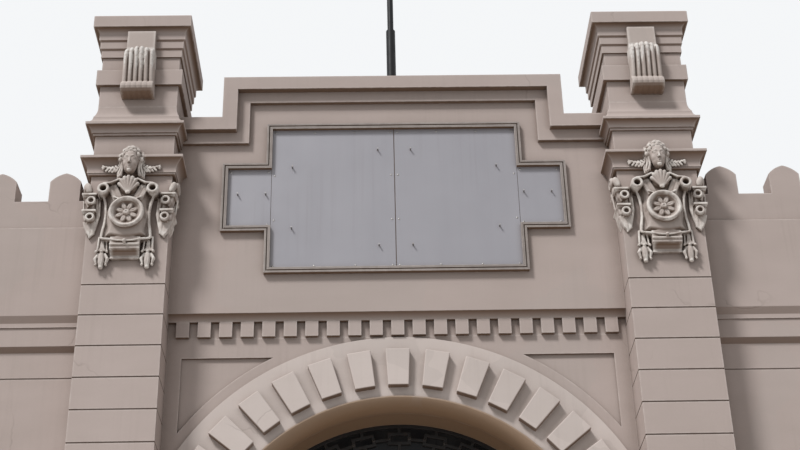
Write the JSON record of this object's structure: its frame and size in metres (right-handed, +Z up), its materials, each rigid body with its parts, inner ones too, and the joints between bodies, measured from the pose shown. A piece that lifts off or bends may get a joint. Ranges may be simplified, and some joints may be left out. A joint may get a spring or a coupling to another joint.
{
  "type": "arched gateway front",
  "caption": "Rendered masonry gateway front with a round arch between two ornate piers, a blank sign above, paired doors, fanlight, parapet and short wings.",
  "frame": {"origin": "centre of the footprint on the ground, midway between the piers and midway through their depth", "axes": "+X along the front to the viewer's right, +Y from the front to the back, +Z up"},
  "size_m": [10.6, 1.644, 14.2],
  "materials": {
    "wall_render": "painted masonry render, matt, fine grain, dust and drip stains",
    "carving": "cast ornament, painted with the wall, worn to a paler edge",
    "paving_stone": "hard limestone slab, worn",
    "sign_moulding": "run moulding painted with the wall",
    "sign_sheet": "satin grey sheet",
    "stud_steel": "plain studs",
    "door_timber": "dark stained timber",
    "black_iron": "black painted wrought iron",
    "dark_glass": "dark tinted pane, smooth, a little dusty",
    "pole_paint": "dark gloss paint"
  },
  "bodies": {
    "gateway": {"threshold": "paving_stone", "upper_wall": "wall_render", "parapet_coping": "wall_render", "dentil_course": "wall_render", "arch_ring": "wall_render", "arch_roll": "wall_render", "spandrel_l": "wall_render", "spandrel_r": "wall_render", "jamb_l": "wall_render", "jamb_r": "wall_render", "impost_l": "wall_render", "impost_r": "wall_render", "pier_plinth_l": "wall_render", "pier_plinth_r": "wall_render", "pier_shaft_l": "wall_render", "pier_shaft_r": "wall_render", "pier_capital_l": "wall_render", "pier_capital_r": "wall_render", "attic_base_l": "wall_render", "attic_base_r": "wall_render", "attic_block_l": "wall_render", "attic_block_r": "wall_render", "attic_cap_l": "wall_render", "attic_cap_r": "wall_render", "wing_wall_l": "wall_render", "wing_wall_r": "wall_render", "battlement_l": "wall_render", "battlement_r": "wall_render", "console_l": "carving", "console_r": "carving", "cartouche_l": "carving", "cartouche_r": "carving", "mask_l": "carving", "mask_r": "carving", "transom": "door_timber", "fanlight_frame": "black_iron", "fanlight_bars": "black_iron", "fanlight_glass": "dark_glass", "sign_frame": "sign_moulding", "sign_sheet_l": "sign_sheet", "sign_sheet_r": "sign_sheet", "sign_ear_l": "sign_sheet", "sign_ear_r": "sign_sheet", "sign_studs": "stud_steel", "hinge_pins_l": "black_iron", "hinge_pins_r": "black_iron", "flagpole": "pole_paint", "pole_clamps": "pole_paint"},
    "door_l": {"door_frame_l": "door_timber", "door_panels_l": "door_timber", "door_straps_l": "black_iron", "door_pull_l": "black_iron"},
    "door_r": {"door_frame_r": "door_timber", "door_panels_r": "door_timber", "door_straps_r": "black_iron", "door_pull_r": "black_iron"}
  },
  "joints": [
    {"name": "door_l_hinge", "type": "hinge", "parent": "gateway", "child": "door_l", "pos_m": [-2.08, 0.49, 2.3], "axis": [0, 0, 1], "range_deg": [0, 90]},
    {"name": "door_r_hinge", "type": "hinge", "parent": "gateway", "child": "door_r", "pos_m": [2.08, 0.49, 2.3], "axis": [0, 0, -1], "range_deg": [0, 90]}
  ]
}
